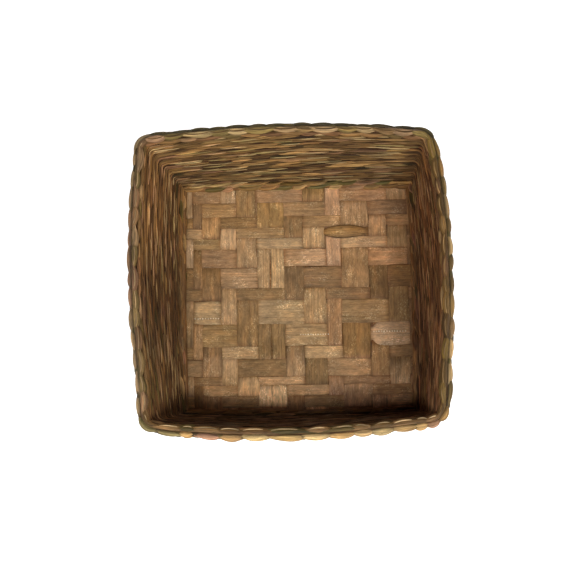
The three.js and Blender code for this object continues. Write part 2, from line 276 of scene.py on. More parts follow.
def thread(soup, rng, p, rad, colour, around=6):
    """A thin free fibre along the points p (M, 3) with radius rad (M,)."""
    t = unit(np.gradient(p, axis=0))
    n = unit(np.cross(t, np.array([0.3, 0.2, 1.0])))
    u = unit(np.cross(t, n))
    th = 2 * np.pi * np.arange(around) / around
    ring = p[:, None] + (u[:, None] * np.cos(th)[None, :, None] + n[:, None] * np.sin(th)[None, :, None]) * rad[:, None, None]
    along = np.concatenate([[0], np.cumsum(np.linalg.norm(np.diff(p, axis=0), axis=1))]) + rng.uniform(0, 2000)
    fib = np.stack([np.broadcast_to(along[:, None], (len(p), around)), rad[:, None] * np.cos(th), rad[:, None] * np.sin(th)], -1)
    tint = np.broadcast_to(np.asarray(colour, float), (len(p), around, 3))
    soup.grid(ring[None], (p[0] - t[0] * rad[0])[None], (p[-1] + t[-1] * rad[-1])[None], fib[None],
              fib[0].mean(0)[None], fib[-1].mean(0)[None], tint[None])


def pick(rng, palette, k, vary=0.10, hue=0.03):
    """k colours from a palette of (sRGB, weight), each a little varied."""
    w = np.array([p[1] for p in palette], float)
    base = lin([p[0] for p in palette])[rng.choice(len(palette), k, p=w / w.sum())]
    return base * np.exp(rng.normal(0, vary, (k, 1))) * (1 + rng.normal(0, hue, (k, 3)))


# ---- materials ---------------------------------------------------------------------------
def fibre_material(name, stretch, coarse, streak, rough, bump, gloss, dirt, pale=0.0, patchy=0.0):
    """Dry plant fibre. fib holds a strand's own coordinates in mm (along, across, through), tint its colour."""
    mat = bpy.data.materials.new(name)
    mat.use_nodes = True
    nt = mat.node_tree
    nt.nodes.clear()
    new, link = nt.nodes.new, nt.links.new
    out = new("ShaderNodeOutputMaterial")
    bsdf = new("ShaderNodeBsdfPrincipled")
    link(bsdf.outputs["BSDF"], out.inputs["Surface"])
    fib = new("ShaderNodeAttribute")
    fib.attribute_name = "fib"
    tint = new("ShaderNodeAttribute")
    tint.attribute_name = "tint"

    def noise(scale, detail, rough_):
        mp = new("ShaderNodeMapping")
        mp.inputs["Scale"].default_value = scale
        link(fib.outputs["Vector"], mp.inputs["Vector"])
        n = new("ShaderNodeTexNoise")
        n.inputs["Scale"].default_value = 1.0
        n.inputs["Detail"].default_value = detail
        n.inputs["Roughness"].default_value = rough_
        link(mp.outputs["Vector"], n.inputs["Vector"])
        return n.outputs["Fac"]

    def remap(x, a, b, c, d_):
        r = new("ShaderNodeMapRange")
        for key, v in (("From Min", a), ("From Max", b), ("To Min", c), ("To Max", d_)):
            r.inputs[key].default_value = v
        link(x, r.inputs["Value"])
        return r.outputs["Result"]

    def math_(op, a, b):
        m = new("ShaderNodeMath")
        m.operation = op
        for s, v in zip(m.inputs, (a, b)):
            if isinstance(v, (int, float)):
                s.default_value = v
            else:
                link(v, s)
        return m.outputs["Value"]

    def multiply(colour, factor, by):
        mix = new("ShaderNodeMix")
        mix.data_type = "RGBA"
        mix.blend_type = "MULTIPLY"
        mix.clamp_result = False
        mix.inputs["B"].default_value = by
        link(factor, mix.inputs["Factor"])
        link(colour, mix.inputs["A"])
        return mix.outputs["Result"]

    fine = noise((stretch * 1.6, coarse * 3.4, coarse * 3.4), 3.0, 0.6)
    mid = noise((stretch, coarse, coarse), 4.0, 0.55)
    blot = noise((0.045, 0.16, 0.16), 3.0, 0.5)
    specks = noise((0.5, 0.9, 0.9), 2.0, 0.5)
    shade = math_("MULTIPLY", remap(mid, 0.32, 0.68, 1 - streak, 1 + streak), remap(fine, 0.3, 0.7, 1 - 0.55 * streak, 1 + 0.55 * streak))
    shade = math_("MULTIPLY", shade, remap(blot, 0.35, 0.65, 1 - dirt, 1 + 0.6 * dirt))
    if patchy > 0:
        patch = noise((0.11, 0.26, 0.26), 3.0, 0.6)
        grain = noise((0.22, 1.3, 1.3), 2.0, 0.6)
        shade = math_("MULTIPLY", shade, remap(patch, 0.34, 0.66, 1 - patchy, 1 + patchy))
        shade = math_("MULTIPLY", shade, remap(grain, 0.34, 0.66, 1 - 0.8 * patchy, 1 + 0.8 * patchy))
    scale = new("ShaderNodeVectorMath")
    scale.operation = "SCALE"
    link(tint.outputs["Color"], scale.inputs[0])
    link(shade, scale.inputs["Scale"])
    # slightly reddish blotches and dry grey-brown specks, and on the strips pale flecks of wear that also stand in for
    # glints: partly wear, partly painted highlight
    colour = multiply(scale.outputs["Vector"], remap(blot, 0.45, 0.72, 0.0, 0.7), (1.0, 0.90, 0.80, 1.0))
    colour = multiply(colour, remap(specks, 0.62, 0.74, 0.0, 0.75), (0.55, 0.47, 0.40, 1.0))
    if pale > 0:
        flecks = noise((0.55, 0.85, 0.85), 4.0, 0.75)
        where = noise((0.05, 0.07, 0.07), 2.0, 0.5)
        wear_and_glints = math_("MULTIPLY", remap(flecks, 0.53, 0.66, 0.0, 1.0), remap(where, 0.46, 0.64, 0.0, pale))
        colour = multiply(colour, wear_and_glints, (2.0, 2.45, 3.0, 1.0))
    link(colour, bsdf.inputs["Base Color"])
    link(remap(mid, 0.3, 0.7, rough + 0.12, rough - 0.10), bsdf.inputs["Roughness"])
    bsdf.inputs["Specular IOR Level"].default_value = gloss
    b = new("ShaderNodeBump")
    b.inputs["Strength"].default_value = bump
    b.inputs["Distance"].default_value = 0.0005
    link(math_("ADD", mid, math_("MULTIPLY", fine, 0.6)), b.inputs["Height"])
    link(b.outputs["Normal"], bsdf.inputs["Normal"])
    return mat


STRAW_COURSE = fibre_material("twisted_straw", 0.04, 0.9, 0.48, 0.66, 1.0, 0.30, 0.18)
STRAW_WALE = fibre_material("straw_foot_wale", 0.05, 0.7, 0.46, 0.64, 0.9, 0.30, 0.20)
STRAW_RIM = fibre_material("border_straw", 0.04, 0.9, 0.52, 0.58, 1.0, 0.34, 0.18)
BAMBOO = fibre_material("split_strip", 0.016, 0.9, 0.17, 0.60, 0.8, 0.32, 0.20, pale=1.25, patchy=0.20)

# ---- wall courses --------------------------------------------------------------------------
PER_SIDE = 13
COURSE_COLOURS = [((154, 114, 69), 50), ((165, 125, 78), 22), ((138, 99, 59), 18), ((180, 143, 98), 6),
                  ((126, 102, 57), 4), ((160, 116, 82), 4)]
SLIVER_COLOURS = [((200, 166, 118), 50), ((192, 148, 108), 32), ((174, 146, 94), 18)]
WALE_COLOURS = [((160, 118, 70), 40), ((184, 144, 94), 30), ((122, 102, 52), 10), ((182, 132, 96), 8), ((128, 96, 46), 14)]
WALL_TONE = 0.93
PLACE_Q = [0.05, 0.30, 0.60, 0.80, 0.95, 1.10, 1.90, 2.10, 2.90, 3.08, 3.20, 3.50, 3.68, 3.90]
PLACE_LIGHT_SHADE = [1.24, 1.24, 1.10, 0.97, 0.88, 0.90, 0.78, 0.68, 0.68, 1.12, 0.99, 0.92, 1.18, 1.34]
# a few strokes of the foot wale that stand out by their colour: place along the wall, colour
WALE_MARKS = ((0.12, (122, 104, 54)), (0.45, (122, 104, 54)), (0.63, (124, 112, 62)), (0.76, (190, 146, 104)), (3.59, (96, 90, 48)))


# the sides of the wall differ a little in hue; the redder hue of the right side is painted shade, the warmer colour of
# its shade
HUE_Q = (0.1, 0.9, 1.1, 1.9, 2.1, 2.9, 3.1, 3.9)
HUE = ((0.84, 0.84, 0.90, 0.90, 0.92, 0.92, 0.92, 0.92), (0.90, 0.90, 0.73, 0.71, 0.84, 0.84, 0.88, 0.88),
       (0.84, 0.84, 0.68, 0.64, 1.00, 1.00, 0.82, 0.82))


SIDE_Q = [0.2, 0.8, 1.2, 1.8, 2.2, 2.8, 3.2, 3.8]


def place_hue(q):
    return np.stack([np.interp(q, HUE_Q, h, period=4) for h in HUE], -1)


def lens(t, sharp, least):
    """1 in the middle, least at the ends."""
    return 1 - (1 - least) * np.abs(t) ** sharp


def taper(t, sharp, least):
    """1 in the middle and least at the ends, which are pointed."""
    return least + (1 - least) * (1 - np.abs(t) ** sharp) ** 0.8


def face_strokes(rng, phase, inner):
    """Centres and half lengths (in q) of the strokes on one face of a course."""
    out = []
    if inner:
        for i in range(4):
            b = (np.arange(PER_SIDE + 1) + phase + rng.uniform(-0.2, 0.2, PER_SIDE + 1)) / PER_SIDE
            b = b[(b > 0.45 / PER_SIDE) & (b < 1 - 0.45 / PER_SIDE)]
            b = np.concatenate([[0], b, [1]]) + i
            for m in range(len(b) - 1):
                out.append(((b[m] + b[m + 1]) / 2, (b[m + 1] - b[m]) / 2))
    else:
        n = 4 * PER_SIDE
        b = (np.arange(n + 1) + phase + 0.5) / PER_SIDE
        b[:-1] += rng.uniform(-0.2, 0.2, n) / PER_SIDE
        b[-1] = b[0] + 4
        for m in range(n):
            out.append(((b[m] + b[m + 1]) / 2, (b[m + 1] - b[m]) / 2))
    return np.array(out)


def place_light_shade(q, z):
    """Painted light and shade: the upper wall lighter and the lower wall darker, the far and left sides lighter and the
    right and near sides darker; one stretch of the left side is darker higher up.
    """
    base = 0.84 + 0.40 * np.clip(z / 110.0, 0, 1) ** 1.5
    left_darker = np.exp(-0.5 * (((q - 3.33 + 2) % 4 - 2) / 0.14) ** 2) * np.clip((z - 35.0) / 50.0, 0, 1)
    return base * np.interp(q, PLACE_Q, PLACE_LIGHT_SHADE, period=4) * (1 - 0.36 * left_darker)


def add_face(soup, rng, z_mid, half, inner, phase, deep, thick, slant, colours, over, jitter, tone, twin=0.9,
             least=0.12, vary=0.09, stations=15, around=8, end_shade=0.45, groove_shade=0.66, slivers=24, marks=()):
    strokes = face_strokes(rng, phase, inner)
    k = len(strokes)
    by_place = deep if np.ndim(deep) else (deep,) * 4
    deep = np.interp(strokes[:, 0], SIDE_Q, np.repeat(by_place, 2), period=4)[:, None]
    sign = -1.0 if inner else 1.0
    t = np.linspace(-1, 1, stations)[None]
    long = over * rng.uniform(0.86, 1.16, (k, 1))
    q = strokes[:, :1] + strokes[:, 1:] * long * t
    up = rng.normal(0, jitter, (k, 1))
    tall = half * rng.uniform(0.86, 1.12, (k, 1))
    out = deep + rng.normal(0, 0.18, (k, 1))
    sag = rng.normal(0, 0.4, (k, 1))
    skew = rng.uniform(-0.3, 0.3, (k, 1))
    tm = np.clip(t - skew * (1 - t * t), -1, 1)
    z = z_mid + up + slant * t * rng.uniform(0.5, 1.5, (k, 1)) + sag * (1 - t * t)
    d = sign * (1.0 + (out - 1.0) * (1 - np.abs(tm) ** 2.4))
    hu = tall * taper(tm, 1.9, least)
    hn = thick * lens(tm, 2.2, 0.45) * rng.uniform(0.90, 1.10, (k, 1))
    if z_mid < 12 and inner:
        tone = tone * np.interp(strokes[:, 0], SIDE_Q, np.repeat((1.45, 1.05, 1.0, 1.15), 2), period=4)
        end_shade = 0.30
    where = place_light_shade(strokes[:, 0], z_mid) * tone * (1 + 0.12 * smooth_noise(rng, strokes[:, 0] * 250.0, 45.0))
    own = pick(rng, colours, k, vary, 0.02)
    if inner and z_mid > 12:
        power = np.interp(strokes[:, 0], SIDE_Q, np.repeat((3.1, 0.8, 1.0, 0.7), 2), period=4)[:, None]
        own = own.mean(0) * (own.mean(1, keepdims=True) / own.mean()) ** power * (own / own.mean(1, keepdims=True)) / (own.mean(0) / own.mean())
        own = np.minimum(own, 1.75 * own.mean(0)) * np.interp(power, [1.0, 3.1], [1.0, 0.95])
    colour = own * where[:, None] * (place_hue(strokes[:, 0]) if inner else 1.0)
    for q_mark, rgb in marks:
        near_by = int(np.argmin(np.abs((strokes[:, 0] - q_mark + 2) % 4 - 2)))
        colour[near_by] = lin(rgb)
    ends = end_shade * (np.interp(strokes[:, 0], SIDE_Q, np.repeat((1.35, 0.9, 1.0, 0.85), 2), period=4) if inner else np.ones(k))
    tint = colour[:, None] * (1 - ends[:, None] * np.abs(t) ** 3.0)[..., None]
    pull = rng.random(k)
    one, two, three = pull > twin, (pull <= twin) & (pull > 0.6 * twin), pull <= 0.6 * twin
    strands(soup, rng, q[one], z[one], d[one], hu[one] * 0.90, hn[one], tint[one], around=around + 4, lobe=0.09, twist=1.8, groove_shade=groove_shade)
    if two.any():
        fibres(soup, rng, q[two], z[two], d[two], hu[two], hn[two], tint[two], 2, 0.7, around=around, vary=0.24, groove_shade=groove_shade)
    if three.any():
        fibres(soup, rng, q[three], z[three], d[three], hu[three], hn[three], tint[three], 3, 0.5, around=around, vary=0.30, groove_shade=groove_shade, slim=0.84)
    if slivers:
        # single pale stalks that lie on the face
        mid = rng.uniform(0, 4, (slivers, 1))
        reach = rng.uniform(0.032, 0.072, (slivers, 1))
        sq = mid + reach * t
        sz = z_mid + rng.uniform(-0.8, 0.8, (slivers, 1)) * half + slant * 0.55 * t
        sd = sign * (np.interp(mid, SIDE_Q, np.repeat(by_place, 2), period=4) + 0.55 * thick + 0.35 * (1 - t * t)) + 0 * sz
        pale = pick(rng, SLIVER_COLOURS, slivers, 0.12, 0.02) * (place_light_shade(mid[:, 0], z_mid) * WALL_TONE)[:, None]
        pale = pale * (place_hue(mid[:, 0]) * 1.04 if inner else 1.0)
        strands(soup, rng, sq, sz, sd, rng.uniform(0.40, 0.75, (slivers, 1)) * taper(t, 1.6, 0.10), 0.6 * taper(t, 2.0, 0.3),
                pale[:, None], around=6, lobe=0.0, groove_shade=0.2)


def finish_piece(o, node):
    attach(o, "root")
    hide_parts(node)
    return o


COURSE_PITCH, COURSE_0 = 6.2, 9.9 + 2.95
for n in range(15):
    rng = np.random.default_rng(1000 + n)
    soup = Soup()
    z_mid = COURSE_0 + COURSE_PITCH * n
    phase = 0.5 * (n % 2) + rng.uniform(-0.15, 0.15)
    tone = WALL_TONE * (1 + rng.uniform(-0.12, 0.12))
    for inner in (True, False):
        add_face(soup, rng, z_mid, 3.1, inner, phase, 1.75, 1.6, 1.5 if inner else -1.5, COURSE_COLOURS, 2.0, 0.3, tone)
    # dark rings inside the course: painted shade deep in the grooves
    for s in (-1, 1):
        core(soup, rng, z_mid, 1.15 * s, 3.15, 0.5, (66, 38, 18))
    finish_piece(soup.object("course_%02d" % (n + 1), STRAW_COURSE), "wall_course_%02d" % (n + 1))

rng = np.random.default_rng(900)
soup = Soup()
for inner in (True, False):
    add_face(soup, rng, 6.5, 3.7, inner, 0.3, (7.6, 6.2, 5.6, 5.8) if inner else 2.5, 2.7 if inner else 2.4, 1.5 if inner else -1.6, WALE_COLOURS, 1.7, 0.4, WALL_TONE * 1.0,
             twin=0.5, least=0.10, vary=0.12, around=12, groove_shade=0.45, slivers=16, marks=WALE_MARKS if inner else ())
add_face(soup, rng, 9.9, 2.3, True, 0.8, (5.0, 4.2, 3.8, 4.0), 2.1, 1.3, WALE_COLOURS, 1.8, 0.35, WALL_TONE * 0.95,
         twin=0.5, least=0.10, vary=0.14, around=10, groove_shade=0.5, slivers=10)
core(soup, rng, 6.0, -4.9, 3.5, 3.6, (128, 92, 54))
# dark rings inside the wale: painted shade deep in the grooves
for s in (-1, 1):
    core(soup, rng, 6.1, 1.15 * s, 3.7, 0.5, (66, 38, 18))
finish_piece(soup.object("foot_wale_strands", STRAW_WALE), "foot_wale")

# ---- rim -------------------------------------------------------------------------------------
rng = np.random.default_rng(910)
soup = Soup()
for inner in (True, False):
    add_face(soup, rng, 105.9, 3.2, inner, 0.2, 1.7, 1.6, 1.4 if inner else -1.4, COURSE_COLOURS, 1.7, 0.25, WALL_TONE * 1.05)
# dark rings inside the hoop: painted shade deep in the grooves
for s in (-1, 1):
    core(soup, rng, 105.9, 1.15 * s, 3.2, 0.5, (66, 38, 18))
finish_piece(soup.object("rim_hoop_strands", STRAW_COURSE), "rim_hoop")

# the border colours by side are partly painted light and shade: lighter where the soft boxes light the strokes (the top
# row on the far side, the outer row on the near side) and darker where they lie in shade (the outer row on the far
# side, the right side); within each side they are the straw's own mix of gold, tan and olive
TOP_FAR = [((190, 158, 110), 46), ((186, 152, 104), 34), ((184, 146, 108), 20)]
TOP_RIGHT = [((148, 112, 64), 50), ((156, 124, 64), 30), ((136, 98, 62), 20)]
TOP_NEAR = [((160, 122, 76), 60), ((142, 106, 62), 40)]
TOP_LEFT = [((168, 136, 96), 50), ((160, 122, 88), 30), ((150, 124, 80), 20)]
DARK_FAR = [((146, 122, 68), 50), ((150, 120, 74), 30), ((130, 108, 60), 20)]
DARK_RIGHT = [((126, 96, 52), 60), ((112, 88, 48), 40)]
DARK_NEAR = [((122, 92, 52), 60), ((112, 92, 48), 40)]
DARK_LEFT = [((134, 110, 68), 50), ((140, 106, 72), 50)]
OUTER_FAR = [((92, 80, 42), 46), ((106, 90, 50), 34), ((132, 110, 70), 20)]
OUTER_NEAR = [((212, 178, 124), 40), ((206, 166, 106), 32), ((204, 154, 116), 14), ((162, 144, 90), 14)]
OUTER_RIGHT = [((173, 142, 96), 46), ((160, 125, 72), 34), ((128, 102, 57), 20)]
OUTER_LEFT = [((172, 144, 104), 50), ((160, 124, 92), 30), ((132, 114, 72), 20)]
# the joining row under the outer strokes: partly olive straw and partly painted shade on the rim's shaded outer side
JOIN = [((96, 82, 42), 60), ((84, 66, 34), 40)]
INNER = [((150, 112, 66), 42), ((138, 98, 60), 30), ((120, 96, 52), 12), ((172, 134, 90), 16)]
# colour of the thin strand along the inner side of each top stroke, side by side from the far one: a painted highlight
# on the near, left and right sides, painted shade on the far side
EDGE_LIGHT = ((96, 70, 36), (160, 128, 84), (220, 190, 142), (176, 146, 106))

def border(soup, rng, per_side, phase, by_side, mid, ends, half, thick, roll, over, alternate=None, nest=0.0,
           sharp=1.7, least=0.07, end_tuck_shade=0.45, groove_shade=0.35, jitter=0.2, stations=19, painted_edge=(), places={},
           size=(1, 1, 1, 1), shift=(0, 0, 0, 0)):
    """One row of border strokes round the whole rim. mid and ends: (d, z) of a stroke's middle and of its ends."""
    k = 4 * per_side
    b = (np.arange(k + 1) + phase) / per_side
    b[:-1] += rng.uniform(-0.16, 0.16, k) / per_side
    for i, stops in places.items():
        b[i * per_side:(i + 1) * per_side] = stops
    b[-1] = b[0] + 4
    t = np.linspace(-1, 1, stations)[None]
    centre = (b[:-1] + b[1:]) / 2
    skew = rng.uniform(-0.25, 0.25, (k, 1))
    tm = np.clip(t - skew * (1 - t * t), -1, 1)
    q = centre[:, None] + ((b[1:] - b[:-1]) / 2)[:, None] * over * rng.uniform(0.90, 1.12, (k, 1)) * t
    f = np.abs(tm) ** 2
    big = np.interp(centre, SIDE_Q, np.repeat(size, 2), period=4)[:, None]
    inwards = np.interp(q, SIDE_Q, np.repeat(shift, 2), period=4)
    d = inwards + mid[0] + (ends[0] - mid[0]) * f + rng.normal(0, jitter, (k, 1))
    z = mid[1] + (ends[1] - mid[1]) * f + rng.normal(0, jitter, (k, 1))
    hu = half * big * taper(tm, sharp, least) * rng.uniform(0.86, 1.10, (k, 1))
    hn = thick * big * taper(tm, sharp + 0.6, 0.3) * rng.uniform(0.90, 1.08, (k, 1))
    side = np.floor(centre % 4).astype(int)
    colour = np.zeros((k, 3))
    for i in range(4):
        on = side == i
        colour[on] = pick(rng, by_side[i], int(on.sum()), 0.10, 0.02)
    if alternate is not None:
        odd = np.arange(k) % 2 == 1
        for i in range(4):
            on = odd & (side == i)
            colour[on] = pick(rng, alternate[i], int(on.sum()), 0.10, 0.02)
    if np.ndim(roll):
        roll = np.interp(q, SIDE_Q, np.repeat(roll, 2), period=4)
    # painted shade: each stroke darker towards its ends, where it tucks under its neighbours
    tint = colour[:, None] * (1 - end_tuck_shade * np.abs(t) ** 2.4)[..., None]
    # painted highlight: a thin strand along the inner side of each top stroke, lighter where that side is lit
    if painted_edge:
        r = np.broadcast_to(np.asarray(roll, float), q.shape)
        rim_d = d + 0.35 * hu * np.sin(r) - 0.94 * hn * np.cos(r)
        rim_z = z + 0.35 * hu * np.cos(r) + 0.94 * hn * np.sin(r)
        hue = lin([painted_edge[i] for i in side]) * np.exp(rng.normal(0, 0.15, (k, 1)))
        slim = taper(t, 2.0, 0.10) * rng.uniform(0.8, 1.2, (k, 1))
        short = centre[:, None] + (q - centre[:, None]) * 0.72
        strands(soup, rng, short, rim_z, rim_d, 0.75 * slim, 0.50 * slim, hue[:, None], roll=roll, around=6, lobe=0.0, groove_shade=0.2)
    if nest > 0:
        for s, size in ((-1.15, 0.46), (0, 0.56), (1.15, 0.46)):
            tone = np.exp(rng.normal(0, 0.09, (k, 1, 1))) * (1.06 if s == 0 else 0.88)
            go = s * nest * hu
            strands(soup, rng, q + rng.normal(0, 0.003, (k, 1)), z + go * np.cos(roll), d + go * np.sin(roll), hu * size,
                    hn * (0.98 if s == 0 else 0.84), tint * tone, roll=roll, around=16, lobe=0.09, twist=1.6, groove_shade=groove_shade)
    else:
        strands(soup, rng, q, z, d, hu, hn, tint, roll=roll, around=24, lobe=0.09, twist=1.6, groove_shade=groove_shade)


ROWS_ROUND = 14
# where the border strokes of the far and near side begin, as places along the wall
FAR_STOPS = (0.017, 0.090, 0.159, 0.248, 0.317, 0.390, 0.469, 0.552, 0.607, 0.690, 0.748, 0.814, 0.883, 0.955)
NEAR_STOPS = (2.010, 2.046, 2.085, 2.161, 2.232, 2.290, 2.371, 2.458, 2.571, 2.661, 2.739, 2.826, 2.871, 2.958)
rng = np.random.default_rng(920)
soup = Soup()
border(soup, rng, ROWS_ROUND, 0.9, (JOIN,) * 4, (3.1, 110.9), (2.6, 111.2), 2.8, 2.0, -0.6, 1.0, size=(1, 1, 1.12, 1), shift=(0, -0.3, -0.9, -0.2))
border(soup, rng, ROWS_ROUND, 0.4, (OUTER_FAR, OUTER_RIGHT, OUTER_NEAR, OUTER_LEFT), (3.9, 111.5), (2.5, 111.7), 3.2, 2.1, (-0.6, -0.8, -1.0, -0.75), 1.30,
       nest=0.36, sharp=1.9, least=0.08, groove_shade=0.60, end_tuck_shade=0.70, places={NEAR: NEAR_STOPS},
       size=(0.96, 1.12, 1.34, 1.08), shift=(0, -0.45, -1.15, -0.25))
WHISKERS = (((-78.0, -146.0, 112.0), (-6.0, -5.5, 1.5)), ((-38.0, -148.5, 112.5), (-9.0, -2.6, 2.0)), ((146.0, -56.0, 112.0), (3.5, -9.0, 2.0)))
for at, way in WHISKERS:
    s = np.linspace(0, 1, 9)[:, None]
    p = np.array(at) + np.array(way) * s + np.array([0.6, -0.5, 0.8]) * np.sin(np.pi * s)
    p[:, :2] += SHIFT
    thread(soup, rng, p, 0.34 - 0.2 * s[:, 0], lin((176, 146, 104)))
finish_piece(soup.object("border_outer_strands", STRAW_RIM), "rim_row_outer")

rng = np.random.default_rng(930)
soup = Soup()
border(soup, rng, ROWS_ROUND, 0.9, (INNER,) * 4, (-3.5, 107.6), (-2.2, 109.4), 2.5, 1.5, 0.35, 1.6, nest=0.40)
finish_piece(soup.object("border_inner_strands", STRAW_RIM), "rim_row_inner")

rng = np.random.default_rng(940)
soup = Soup()
border(soup, rng, ROWS_ROUND, 0.4, (TOP_FAR, TOP_RIGHT, TOP_NEAR, TOP_LEFT), (-1.5, 112.1), (0.9, 114.0), 3.9, 1.8, (0.75, 0.45, 0.30, 0.60), 1.7,
       alternate=(DARK_FAR, DARK_RIGHT, DARK_NEAR, DARK_LEFT), nest=0.36, sharp=1.4, painted_edge=EDGE_LIGHT, end_tuck_shade=0.55,
       places={FAR: FAR_STOPS, NEAR: NEAR_STOPS}, shift=(0, -0.5, -1.9, -0.4), size=(1.0, 1.15, 1.36, 1.06))
# a dark ring under the top strokes: painted shade in the gaps between them
core(soup, rng, 110.6, 0.6, 2.9, 2.5, (84, 56, 30))
finish_piece(soup.object("border_top_strands", STRAW_RIM), "rim_row_top")

# ---- floor strips ------------------------------------------------------------------------------
COLUMNS = [("c01", -5, 0, 33, False), ("c02", -4, 33, 73, True), ("c03", -3, 73, 158, True),
           ("c04", -2, 158, 227, True), ("c05", -1, 227, 319, True), ("c06", 0, 319, 377, True),
           ("c07", 0, 377, 440, True), ("c08", 1, 440, 521, True), ("c09", 2, 521, 621, True),
           ("c10", 3, 621, 687, True), ("c11", 4, 687, 807, True), ("c12", 5, 807, 887, True),
           ("c13", 6, 887, 973, True), ("c14", 7, 973, 1000, False)]
ROWS = [("r01", -5, 0, 40, False), ("r02", -4, 40, 107, True), ("r03", -3, 107, 160, True),
        ("r04", -2, 160, 207, True), ("r05", -1, 207, 260, True), ("r06", 0, 260, 343, True),
        ("r07", 1, 343, 440, True), ("r08", 2, 440, 493, True), ("r09", 3, 493, 600, True),
        ("r10", 4, 600, 697, True), ("r11", 5, 697, 753, True), ("r12", 6, 753, 830, True),
        ("r13", 7, 830, 867, False), ("r14", 8, 867, 913, True), ("r15", 9, 913, 967, True),
        ("r16", 10, 967, 1000, False)]
MID, LEVEL, STRIP_HALF, CROWN = 1.15, 0.62, 0.42, 0.34
STAKE_W, STAKE_TOP = 9.0, 109.0
# a few floats that stand out: (place along the strip, how light, how warm)
FLOATS = {"c12": ((0.42, 0.56, 0.04), (0.76, 0.84, 0.06)), "c13": ((0.52, 0.60, 0.05),), "c11": ((0.68, 0.70, 0.14), (0.35, 0.86, 0.06), (0.12, 1.02, 0.04)),
          "c10": ((0.27, 1.38, -0.03), (0.65, 1.12, 0.07)), "c09": ((0.21, 1.36, -0.03), (0.52, 1.08, 0.03)),
          "c06": ((0.35, 1.24, -0.02), (0.10, 0.96, 0.09)), "c07": ((0.35, 1.34, -0.03), (0.10, 0.94, 0.09)),
          "r14": ((0.75, 1.34, 0.03), (0.48, 1.28, 0.03)), "r09": ((0.42, 1.26, -0.02), (0.09, 1.30, -0.02)), "r10": ((0.56, 1.24, -0.01),),
          "r02": ((0.40, 1.46, 0.02),), "r05": ((0.40, 1.24, -0.03),), "r07": ((0.92, 0.80, 0.08), (0.22, 1.26, -0.02))}
STRIP_COLOURS = [((180, 144, 101), 30), ((170, 133, 90), 28), ((188, 153, 111), 18), ((158, 121, 80), 12), ((180, 140, 99), 12)]
# split lines at these places across a strip (-1 to 1); the others fall at random
SPLITS = {"r04": (-0.5, -0.15, 0.25, 0.6), "r07": (0.40,), "r09": (0.46, -0.55), "r10": (0.02, -0.6), "c11": (-0.15, 0.55), "c05": (0.2,), "r08": (-0.3, 0.4), "r12": (0.1,)}


# the middle of the weave sits a few millimetres nearer, and a little further right, than an even share of the floor
WEAVE_U = ([-1.0, 0.0, 0.033, 0.973, 1.0, 2.0], [-1.0, 0.0, 0.040, 0.979, 1.0, 2.0])
WEAVE_V = ([-1.0, 0.0, 0.04, 0.5, 0.9, 0.967, 1.0, 2.0], [-1.0, 0.0, 0.068, 0.524, 0.918, 0.979, 1.0, 2.0])


def weave_u(u):
    return np.interp(u, *WEAVE_U)


def weave_v(v):
    return np.interp(v, *WEAVE_V)


def floor_point(u, v):
    q = FLOOR_CORNERS
    u, v = weave_u(np.asarray(u, float))[..., None], weave_v(np.asarray(v, float))[..., None]
    return (q[0] * (1 - u) + q[1] * u) * (1 - v) + (q[3] * (1 - u) + q[2] * u) * v


def column_on_top(k, r):
    return (r - k) % 4 < 2


def spread(j, n):
    return 0.105 + 0.79 * j / (n - 1)


UP_C = [c for c in COLUMNS if c[4]]
UP_R = [r for r in ROWS if r[4]]


def stake_path(i, s0, s1, full_width, flip):
    """Points up the wall for a turned-up end: middle, half width vector."""
    z = np.concatenate([[FLOOR_TOP - 0.5, 2.7, 3.8, 5.2, 7.0, 9.0, 11.5, 14.5], np.arange(20.0, STAKE_TOP - 3, 7.0), [STAKE_TOP]])
    s = s0 + (s1 - s0) * np.maximum(0, rise(z))
    width = np.interp(z, [4.5, 14.5, STAKE_TOP], [full_width, STAKE_W + 1, STAKE_W])
    q = i + s
    c = wall(q, z, np.zeros_like(z))
    t = unit(wall(q + 0.01, z, 0 * z) - wall(q - 0.01, z, 0 * z)) * (-1 if flip else 1)
    return (np.concatenate([c, z[:, None]], 1), np.concatenate([t * width[:, None] / 2, 0 * z[:, None]], 1))


def soften(a, passes):
    a = a.copy()
    for _ in range(passes):
        a[1:-1] = 0.25 * a[:-2] + 0.5 * a[1:-1] + 0.25 * a[2:]
    return a


